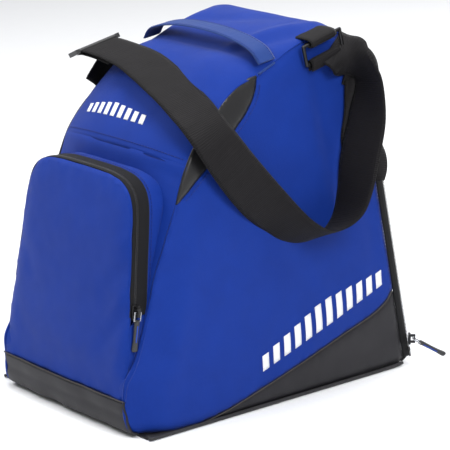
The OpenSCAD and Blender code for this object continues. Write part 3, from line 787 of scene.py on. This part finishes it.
def pocket_face_point(x, z, d, lift=0.0):
    """The pocket's soft front over (x, z), d millimetres in from its edge."""
    flat = np.stack([x, z], axis=-1)
    puff = 5.5 * np.clip(1 - (x / 112) ** 2, 0, 1) * ramp(z, 40, 90) * (1 - 0.6 * ramp(z, 190, 268))
    y = face_y(z) - puff + 3.6 * np.exp(-(d / 8.5) ** 1.4) * ramp(z, 42, 75)
    y = y - folds(flat, POCKET_FOLDS)
    points = np.stack([x, y, z], axis=-1)
    points[..., 1] -= 0.7 * ripple(points, 46, 31) + 0.28 * ripple(points, 15, 8) + lift
    points[..., 1] -= puckers(points, d, 0.55, 10, 10)
    return points


def make_pocket():
    arch = curve(both_halves(POCKET_ARCH), 3)
    foot_x, foot_z = POCKET_SIDE[0]
    outline = closed_line(arch, [(-x, z) for x, z in curve(POCKET_SIDE, 3)[::-1]],
                          resample([(-foot_x, foot_z), (foot_x, foot_z)], 4), curve(POCKET_SIDE, 3))
    flat, faces, d = region(outline, 4.2)
    points = pocket_face_point(flat[:, 0], flat[:, 1], d)
    faces = [f if Vector((0, -1, 0)).dot(normal_of(points, f)) > 0 else f[::-1] for f in faces]
    face = thicken(mesh_piece("pocket_face_cloth", points, faces, "blue", flat), 2.0)
    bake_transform(face)
    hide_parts("pocket_face_lower", "pocket_face_upper")

    place(rim_piece("pocket_flap_tape", arch, 2.9, 7.6, 0.5, "tape"), "pocket_flap", "zip_tape",
          "pocket_zip_tape_flap")
    place(rim_teeth("pocket_flap_teeth", arch, 8.0), "pocket_flap", "zip_coil", "pocket_zip_coil_flap")
    place(rim_teeth("pocket_body_teeth", arch, 9.7), "bag", "zip_coil", "pocket_zip_coil_body")
    place(rim_piece("pocket_body_tape", arch, 10.2, 24.5, 0.5, "tape"), "bag", "zip_tape",
          "pocket_zip_tape_body")
    rim = closed_line([(x, z) for x, z in curve(POCKET_SIDE[:-1] + POCKET_ARCH, 3)])
    whole = np.vstack([rim, rim[::-1] * [-1, 1]])
    start = np.interp(whole[:, 1], (118, 128), (3.4, 17.5))
    place(rim_piece("pocket_gusset_cloth", whole, start, 70, 0.0, "blue", 1.8), "bag", "blue_fabric",
          "pocket_gusset")
    row = [(x, face_y(z) + 27.5, z) for x, z in arch[6:-6]]
    place(stitches("pocket_stitch", np.array(row) + rim_normals(arch)[6:-6] * 0.7, rim_normals(arch)[6:-6],
                   "thread"), "bag", "blue_fabric")


def normal_of(points, face):
    a, b, c = (Vector(points[i]) for i in face[:3])
    return (b - a).cross(c - a)


def rim_normals(line):
    along = np.gradient(np.asarray(line, float), axis=0)
    n = unit(np.stack([along[:, 1], -along[:, 0]], axis=1))
    return np.stack([n[:, 0], 0 * n[:, 0], n[:, 1]], axis=1)


def front_depth(x, z):
    """How far behind the pocket's face plane the front panel lies."""
    run = np.array(FRONT_RUN)
    y = np.interp(z, run[:, 1], run[:, 0])
    c = np.interp(z, run[:, 1], run[:, 2])
    return y - c * 0.95 * (1 - min(1, abs(x) / seam_x(z)) ** SOFT_CROWN) - face_y(z)


def rim_piece(name, line, d0, d1, proud, material, thickness=1.0):
    """A strip that runs round the pocket from d0 to d1 behind its face, or to the front panel."""
    n = rim_normals(line)
    d0 = np.broadcast_to(np.asarray(d0, float), len(line))
    rows = []
    for (x, z), normal, near in zip(line, n, d0):
        far = max(near + 0.8, min(d1, front_depth(x, z) + 1.0))
        rows.append([np.array([x, face_y(z) + near + (far - near) * t, z])
                     + normal * (proud - 0.8 * t * (d1 > 40))
                     for t in np.linspace(0, 1, 9)])
    rows = np.array(rows)
    rows = rows + (0.4 * ripple(rows, 18, 14))[..., None] * n[:, None, :] * (d1 > 40)
    return thicken(grid_piece(name, rows, material), thickness)


def rim_teeth(name, line, d):
    n = rim_normals(line)
    centres = [np.array([x, face_y(z) + d, z]) + normal * 0.4 for (x, z), normal in zip(line, n)]
    return zip_teeth(name, centres, [0, 1, 0], 1.9)


# ---------------------------------------------------------------- strap, rings and handle

# Each station of a run is a point on its middle line and the direction of its width. They are the CAD
# source's, apart from the ends of each run.
OUTER_RUN = [
    ((102, 90, 377), (0, 0.93, 0.36)), ((118.8, 103, 365), (0.72, 0.68, -0.17)),
    ((132.6, 117, 342), (0.99, -0.08, 0)), ((135.4, 113.5, 300), (0.98, 0.17, 0)),
    ((136.5, 102, 256), (0.97, 0.24, 0.02)), ((138.5, 93.5, 222), (0.97, 0.12, 0.13)),
    ((139, 82, 198), (0.97, 0.02, 0.22)), ((139, 61, 184), (0.94, 0, 0.34)),
    ((138, 36, 182), (0.88, 0.12, 0.45)), ((136, 12, 192), (0.8, 0.3, 0.52)),
    ((133, -9, 209), (0.7, 0.4, 0.58)), ((130, -35, 234), (0.45, 0.62, 0.64)),
    ((126, -63, 267), (0.2, 0.8, 0.56)), ((120, -88, 302), (0.05, 0.9, 0.43)),
    ((103, -95, 323), (-0.05, 0.91, 0.4)), ((78, -94, 337), (-0.1, 0.92, 0.37)),
    ((47, -90, 349), (-0.15, 0.92, 0.34)), ((9, -81, 358), (-0.2, 0.92, 0.32)),
    ((-29, -72, 364), (-0.2, 0.94, 0.28)), ((-66, -70, 368), (-0.1, 0.96, 0.22)),
    ((-96, -71, 370), (0, 0.97, 0.2)), ((-110, -71, 368), (0, 0.97, 0.2))]
INNER_RUN = [
    ((106, 84, 361), (0.04, 0.96, 0.26)), ((105.8, 112, 357), (0.05, 0.97, 0.1)),
    ((106.4, 131, 346), (0.06, 0.99, -0.1)),
    ((107.2, 132, 325), (0.06, 1, 0)), ((109, 130, 300), (0.05, 1, 0)),
    ((112, 125, 276), (0.12, 0.99, 0)), ((126, 120.5, 251), (0.6, 0.8, 0)),
    ((136, 109, 230), (0.9, 0.43, 0.1))]
FAR_RUN = [
    ((-106, -68, 352), (0, 0.93, 0.35)), ((-108.5, -52, 340), (-0.03, 0.88, 0.46)),
    ((-111, -36, 316), (-0.08, 0.82, 0.55)), ((-116, -16, 286), (-0.25, 0.78, 0.55)),
    ((-126, 10, 256), (-0.55, 0.6, 0.45)), ((-136, 40, 238), (-0.88, 0.2, 0.3)),
    ((-139, 68, 240), (-0.97, 0, 0.2)), ((-138, 92, 264), (-0.96, 0.2, 0.05)),
    ((-132, 106, 300), (-0.93, 0.35, 0)), ((-123, 100, 334), (-0.75, 0.65, 0.1)),
    ((-107, 82, 350), (-0.05, 0.95, 0.25))]
HANDLE_HALF = [(97, 2, 371.5), (86, 0, 383), (66, -1, 390), (40, -3, 395), (14, -4, 397)]


def ribbon_line(run):
    """Centres, width directions and facing directions along webbing, and the station of each."""
    data = np.array([[*spot, *(100 * np.array(w))] for spot, w in run], float)
    count = len(data)
    padded = np.vstack([2 * data[0] - data[1], data, 2 * data[-1] - data[-2]])
    k = np.linspace(0, count - 1, 24 * (count - 1) + 1)
    i = np.minimum(k.astype(int), count - 2)
    t = (k - i)[:, None]
    a, b, c, d = (padded[i + j] for j in range(4))
    line = 0.5 * (2 * b + (c - a) * t + (2 * a - 5 * b + 4 * c - d) * t**2 + (3 * b - a - 3 * c + d) * t**3)
    centres, widths = line[:, :3], line[:, 3:]
    along = unit(np.gradient(centres, axis=0))
    widths = unit(widths - along * (widths * along).sum(1, keepdims=True))
    return k, centres, widths, np.cross(along, widths)


def make_strap():
    tail_from, tail_gap = 18.6, 4.0
    k, centres, widths, faced = ribbon_line(OUTER_RUN)
    place(webbing("strap_outer_webbing", centres, widths, 50, 1.7, "webbing"), "strap", "webbing",
          "strap_outer_run")
    tail = k > tail_from
    place(webbing("strap_tail_webbing", (centres + faced * tail_gap)[tail], widths[tail], 49, 1.7, "webbing"),
          "strap", "webbing", "strap_tail")
    k, centres, widths, _ = ribbon_line(INNER_RUN)
    place(webbing("strap_inner_webbing", centres[k > 1], widths[k > 1], 49, 1.7, "webbing"),
          "strap", "webbing",
          "strap_inner_run")
    _, centres, widths, _ = ribbon_line(FAR_RUN)
    place(webbing("strap_far_webbing", centres, widths, 50, 1.7, "webbing"), "strap", "webbing",
          "strap_far_run")


def make_handle():
    line = [(p, (0, 0.99, 0.12)) for p in HANDLE_HALF]
    line += [((-p[0], p[1], p[2]), w) for p, w in line[::-1]]
    _, centres, widths, faced = ribbon_line(line)
    place(webbing("handle_webbing", centres, widths, 25, 2.2, "handle", pitch=1.8, rib=0.18), "haul_handle",
          "handle_webbing", "haul_handle")
    for name, side in (("front", -1), ("rear", 1)):
        row = centres + widths * side * 9.6 - faced * 1.0
        place(stitches("handle_stitch_" + name, row, -faced[::24], "thread"), "haul_handle", "handle_webbing")


SLACK_DROP = 9.0  # the left ring hangs this far below the right one


def ring_space(x, y, z, left):
    """A point of the ring's own frame, tilted and set on the top edge of a side."""
    tilt = math.radians(15)
    point = np.array([106 + x, 72 + y * math.cos(tilt) - z * math.sin(tilt),
                      389 - SLACK_DROP * left + y * math.sin(tilt) + z * math.cos(tilt)])
    point[0] *= -1 if left else 1
    return point


def make_rings():
    tab = [(-26, 3.2), (-17, 4.6), (-8, 4.9), (-1, 4.4), (3.2, 2.6), (4.0, -1),
           (1.6, -3.9), (-3, -3.6), (-9, -1.5)]
    loop = [(0.6, -30), (2.4, -26), (3.6, -22), (2.6, -18.4), (-0.4, -17.2), (-3.4, -19), (-3.8, -24),
            (-3.0, -30)]
    for name, left in (("right", False), ("left", True)):
        width = ring_space(0, 1, 0, left) - ring_space(0, 0, 0, left)
        for what, path, wide, node in (("ring_tab_webbing_", tab, 38, "ring_tab_"),
                                       ("ring_loop_webbing_", loop, 46, "ring_loop_")):
            centres = np.array([ring_space(x, 0, z, left) for x, z in curve(path, 1)])
            widths = np.broadcast_to(width, centres.shape) + 0.0
            body = "bag" if node == "ring_tab_" else "ring_" + name
            place(webbing(what + name, centres, widths, wide, 1.5, "webbing"), body, "webbing", node + name)


# ---------------------------------------------------------------- zip pullers and small hardware


def turn(axis, degrees):
    return Matrix.Rotation(math.radians(degrees), 4, axis)


def shift(x, y, z):
    return Matrix.Translation((x, y, z))


def puller(name, frame_of, body, node):
    """A moulded tab with a raised rim, grip ribs and a coloured inlay."""
    ends = [(-8, 2.4, 1.5), (-10, 3.0, 1.75), (-14, 3.0, 1.45), (-22, 2.9, 1.3),
            (-31, 3.0, 1.35), (-36, 3.3, 1.7),
            (-40, 3.4, 1.75), (-42, 2.6, 1.2)]
    stations = curve(ends, 1.2)
    rings = []
    for x, half, thick in stations:
        grip = 0.16 * math.sin(x * 2.6) * (x < -36)
        for k in range(16):
            angle = 2 * math.pi * k / 16
            c, s = math.cos(angle), math.sin(angle)
            square = (abs(c) ** 4 + abs(s) ** 4) ** -0.25
            rings.append(frame_of @ Vector((x, half * c * square, (thick + grip) * s * square)))
    rows = len(stations)
    faces = grid_faces(rows, 16, closed=True)
    faces += [tuple(range(15, -1, -1)), tuple((rows - 1) * 16 + i for i in range(16))]
    place(mesh_piece(name + "_moulding", rings, faces, "plastic"), body, "black_plastic", node)
    for side, sign in (("front", 1), ("back", -1)):
        line = [frame_of @ Vector((x, 0, sign * 1.0)) for x in np.linspace(-14, -32, 19)]
        place(tube(name + "_inlay_" + side, [list(p) for p in line], 1.35, "inlay", 8, 0.5),
              body, "blue_fabric")


def make_pullers():
    main = (shift(128.4, 192, 30) @ turn("Z", 51) @ turn("Y", 90) @ turn("Z", 180) @ shift(0, 0, 5.4)
            @ turn("Y", 62) @ turn("X", 50))
    puller("main_puller", main, "main_puller", "main_puller_tab")
    lean = math.degrees(math.atan(FACE_LEAN))
    pocket = (shift(101 - 0.095 * 6, face_y(134) + 8.675, 134) @ turn("X", -lean) @ shift(6.4, 0, 0)
              @ turn("Y", 90) @ turn("Z", 180))
    puller("pocket_puller", pocket, "pocket_puller", "pocket_puller_tab")


def make_base():
    side = half_w(0) - 3.8
    outline = closed_line(*[resample([a, b], 5) for a, b in
                            (((-side, -186), (side, -186)), ((side, -186), (side, 184)),
                             ((side, 184), (-side, 184)), ((-side, 184), (-side, -186)))])
    flat, faces, d = region(outline, 9)
    points = np.stack([flat[:, 0], flat[:, 1], 0.1 + 0.5 * np.exp(-d / 5)], axis=-1)
    faces = [f if normal_of(points, f).z < 0 else f[::-1] for f in faces]
    place(thicken(mesh_piece("base_cloth", points, faces, "dark", flat), 2.0),
          "bag", "dark_fabric", "base_panel")


def make_ridge_tape():
    """The main zip where it crosses the bag behind the ridge."""
    half = half_w(384) - 3.6
    x = np.linspace(-half, half, 60)
    rows = np.array([[[v, 112.4 + 1.4 * t, 389 - 3.0 * t] for v in x] for t in (0.0, 0.5, 1.0)])
    place(thicken(grid_piece("ridge_tape", rows, "tape"), 1.0), "bag", "zip_tape", "main_zip_tape_body")
    place(zip_teeth("ridge_teeth", [(v, 114.6, 384.6) for v in x], [0, 0.45, -1], 2.4), "bag", "zip_coil",
          "main_zip_coil_body")


PRINT_FOOT = 26.0  # how far up the yoke from its seam the print starts

def front_bars(yoke):
    """A small plain row of slanted bars printed on the yoke."""
    verts, faces = [], []
    for bar in slanted_bars((-68, 0), (1, 0), 9, 12.0, 7.0, 15, -0.2):
        flat, made, _ = region(bar, 3)
        start = len(verts)
        verts += [yoke_point(yoke, x, s, 0.5) for x, s in flat]
        faces += [tuple(start + i for i in f) for f in made]
    return thicken(mesh_piece("yoke_print", verts, faces, "print"), 0.3)


def yoke_point(yoke, x, s, lift):
    """The yoke's surface x from its middle line and s up from the print's foot."""
    row = np.clip((PRINT_FOOT + s) / GRID_STEP, 0, len(yoke) - 1.001)
    i = int(row)
    line = yoke[i] * (1 - row + i) + yoke[i + 1] * (row - i)
    y, z = np.interp(x, line[:, 0], line[:, 1]), np.interp(x, line[:, 0], line[:, 2])
    return np.array([x, y - 0.8 * lift, z + 0.6 * lift])


CAD_FINISH = {"base_board": "board", "pocket_zip_stops": "plastic", "main_zip_stops": "plastic",
              "main_slider": "metal", "main_puller_bail": "wire",
              "pocket_slider": "metal", "pocket_puller_bail": "wire", "ring_right": "metal",
              "ring_left": "metal", "strap_triglide": "plastic"}


def finish_cad_nodes():
    for node, material in CAD_FINISH.items():
        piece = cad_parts[node]
        piece = bpy.data.objects[piece] if isinstance(piece, str) else piece
        piece.data.materials.clear()
        piece.data.materials.append(MATERIALS[material])


def make_floor():
    line = np.linspace(-6000, 6000, 7)
    rows = np.array([[[x, y, -0.2] for x in line] for y in line])
    grid_piece("floor", rows, "floor")


MATERIALS = make_materials()

make_camera()
make_studio()
make_floor()
yoke_grid = make_front_and_top()
place(front_bars(yoke_grid), "bag", "blue_fabric")
make_sides()
make_rear()
make_ridge_tape()
make_pocket()
make_strap()
make_handle()
make_rings()
make_pullers()
make_base()
finish_cad_nodes()

bpy.context.view_layer.update()
